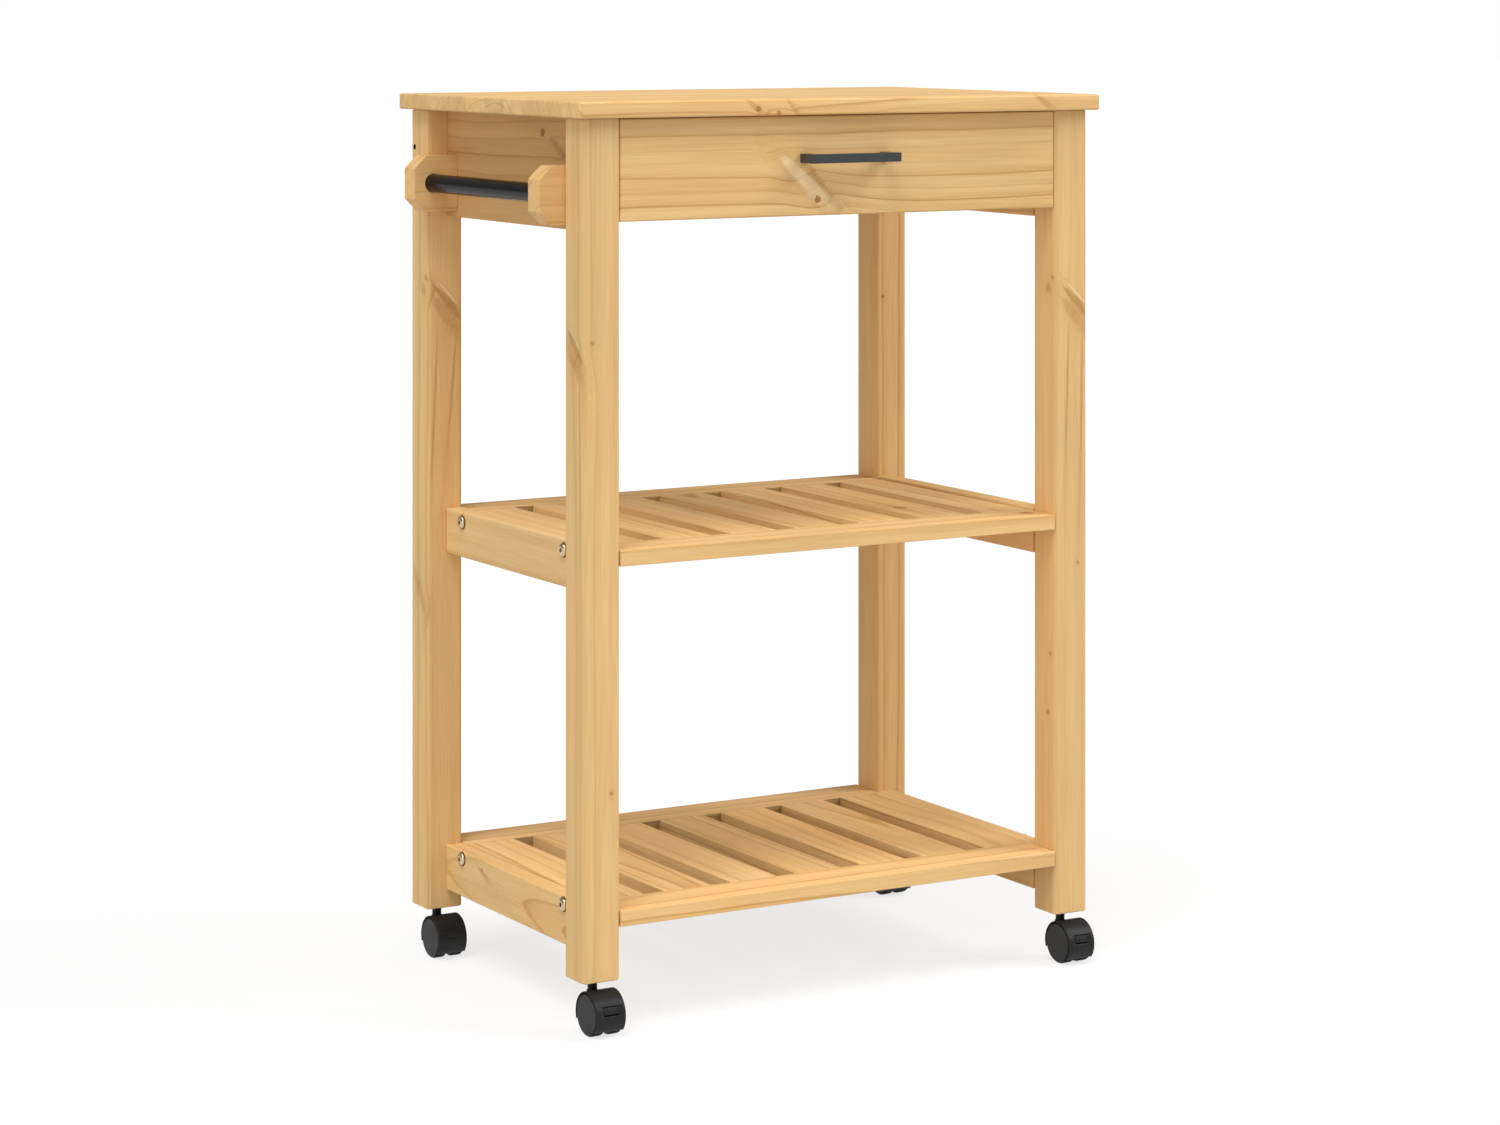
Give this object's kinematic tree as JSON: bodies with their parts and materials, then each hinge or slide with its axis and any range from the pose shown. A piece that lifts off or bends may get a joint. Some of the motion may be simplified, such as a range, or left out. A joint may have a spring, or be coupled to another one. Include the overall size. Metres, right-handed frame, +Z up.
{
  "type": "kitchen trolley",
  "caption": "Rolling kitchen trolley in pine with a worktop, a drawer, slatted shelves, a towel bar and twin-wheel swivel casters.",
  "frame": {"origin": "centre of the overall footprint (towel brackets and handle included) on the floor", "axes": "+Z up, -Y towards the drawer's front, -X towards the towel bar"},
  "size_m": [0.618, 0.415, 0.885],
  "materials": {
    "pine": "satin, light honey pine with knots",
    "pine_plain": "sanded, unfinished pine of the drawer box",
    "plywood": "thin plywood panel, sanded",
    "black_metal": "satin black powder coat",
    "black_plastic": "fine-textured moulded black",
    "wheel_plastic": "moulded black, worn satin tread",
    "screw_metal": "nickel-plated round-head screws"
  },
  "bodies": {
    "frame": {"worktop": "pine", "apron_left": "pine", "apron_right": "pine", "apron_back": "pine", "drawer_runner_left": "pine_plain", "drawer_runner_right": "pine_plain", "leg_front_left": "pine", "leg_front_right": "pine", "leg_back_left": "pine", "leg_back_right": "pine", "lower_shelf_board_left": "pine", "lower_shelf_board_right": "pine", "lower_shelf_rail_front": "pine", "lower_shelf_rail_back": "pine", "lower_shelf_slat_1": "pine", "lower_shelf_slat_2": "pine", "lower_shelf_slat_3": "pine", "lower_shelf_slat_4": "pine", "lower_shelf_slat_5": "pine", "lower_shelf_slat_6": "pine", "lower_shelf_slat_7": "pine", "middle_shelf_board_left": "pine", "middle_shelf_board_right": "pine", "middle_shelf_rail_front": "pine", "middle_shelf_rail_back": "pine", "middle_shelf_slat_1": "pine", "middle_shelf_slat_2": "pine", "middle_shelf_slat_3": "pine", "middle_shelf_slat_4": "pine", "middle_shelf_slat_5": "pine", "middle_shelf_slat_6": "pine", "middle_shelf_slat_7": "pine", "towel_bracket_front": "pine", "towel_bracket_back": "pine", "towel_rod": "black_metal", "caster_stem_front_left": "black_metal", "caster_stem_front_right": "black_metal", "caster_stem_back_left": "black_metal", "caster_stem_back_right": "black_metal"},
    "drawer": {"drawer_front": "pine", "drawer_side_left": "pine_plain", "drawer_side_right": "pine_plain", "drawer_back": "pine_plain", "drawer_bottom": "plywood", "drawer_handle": "black_metal"},
    "caster_front_left": {"caster_hood_front_left": "black_plastic"},
    "wheel_front_left_left": {"caster_wheel_front_left_left": "wheel_plastic"},
    "wheel_front_left_right": {"caster_wheel_front_left_right": "wheel_plastic"},
    "brake_front_left": {"brake_lever_front_left": "black_plastic"},
    "caster_front_right": {"caster_hood_front_right": "black_plastic"},
    "wheel_front_right_left": {"caster_wheel_front_right_left": "wheel_plastic"},
    "wheel_front_right_right": {"caster_wheel_front_right_right": "wheel_plastic"},
    "brake_front_right": {"brake_lever_front_right": "black_plastic"},
    "caster_back_left": {"caster_hood_back_left": "black_plastic"},
    "wheel_back_left_left": {"caster_wheel_back_left_left": "wheel_plastic"},
    "wheel_back_left_right": {"caster_wheel_back_left_right": "wheel_plastic"},
    "caster_back_right": {"caster_hood_back_right": "black_plastic"},
    "wheel_back_right_left": {"caster_wheel_back_right_left": "wheel_plastic"},
    "wheel_back_right_right": {"caster_wheel_back_right_right": "wheel_plastic"}
  },
  "joints": [
    {"name": "drawer_slide", "type": "slide", "parent": "frame", "child": "drawer", "axis": [0, -1, 0], "range_m": [0, 0.25]},
    {"name": "front_left_swivel", "type": "hinge", "parent": "frame", "child": "caster_front_left", "pos_m": [-0.263, -0.1645, 0.05], "axis": [0, 0, 1], "continuous": true},
    {"name": "front_left_left_wheel_spin", "type": "hinge", "parent": "caster_front_left", "child": "wheel_front_left_left", "pos_m": [-0.263, -0.1815, 0.0205], "axis": [1, 0, 0], "continuous": true},
    {"name": "front_left_right_wheel_spin", "type": "hinge", "parent": "caster_front_left", "child": "wheel_front_left_right", "pos_m": [-0.263, -0.1815, 0.0205], "axis": [1, 0, 0], "continuous": true},
    {"name": "front_left_brake_press", "type": "hinge", "parent": "caster_front_left", "child": "brake_front_left", "pos_m": [-0.263, -0.1935, 0.0205], "axis": [1, 0, 0], "range_deg": [0, 6]},
    {"name": "front_right_swivel", "type": "hinge", "parent": "frame", "child": "caster_front_right", "pos_m": [0.279, -0.1645, 0.05], "axis": [0, 0, 1], "continuous": true},
    {"name": "front_right_left_wheel_spin", "type": "hinge", "parent": "caster_front_right", "child": "wheel_front_right_left", "pos_m": [0.279, -0.1815, 0.0205], "axis": [1, 0, 0], "continuous": true},
    {"name": "front_right_right_wheel_spin", "type": "hinge", "parent": "caster_front_right", "child": "wheel_front_right_right", "pos_m": [0.279, -0.1815, 0.0205], "axis": [1, 0, 0], "continuous": true},
    {"name": "front_right_brake_press", "type": "hinge", "parent": "caster_front_right", "child": "brake_front_right", "pos_m": [0.279, -0.1935, 0.0205], "axis": [1, 0, 0], "range_deg": [0, 6]},
    {"name": "back_left_swivel", "type": "hinge", "parent": "frame", "child": "caster_back_left", "pos_m": [-0.263, 0.1775, 0.05], "axis": [0, 0, 1], "continuous": true},
    {"name": "back_left_left_wheel_spin", "type": "hinge", "parent": "caster_back_left", "child": "wheel_back_left_left", "pos_m": [-0.263, 0.1605, 0.0205], "axis": [1, 0, 0], "continuous": true},
    {"name": "back_left_right_wheel_spin", "type": "hinge", "parent": "caster_back_left", "child": "wheel_back_left_right", "pos_m": [-0.263, 0.1605, 0.0205], "axis": [1, 0, 0], "continuous": true},
    {"name": "back_right_swivel", "type": "hinge", "parent": "frame", "child": "caster_back_right", "pos_m": [0.279, 0.1775, 0.05], "axis": [0, 0, 1], "continuous": true},
    {"name": "back_right_left_wheel_spin", "type": "hinge", "parent": "caster_back_right", "child": "wheel_back_right_left", "pos_m": [0.279, 0.1605, 0.0205], "axis": [1, 0, 0], "continuous": true},
    {"name": "back_right_right_wheel_spin", "type": "hinge", "parent": "caster_back_right", "child": "wheel_back_right_right", "pos_m": [0.279, 0.1605, 0.0205], "axis": [1, 0, 0], "continuous": true}
  ]
}
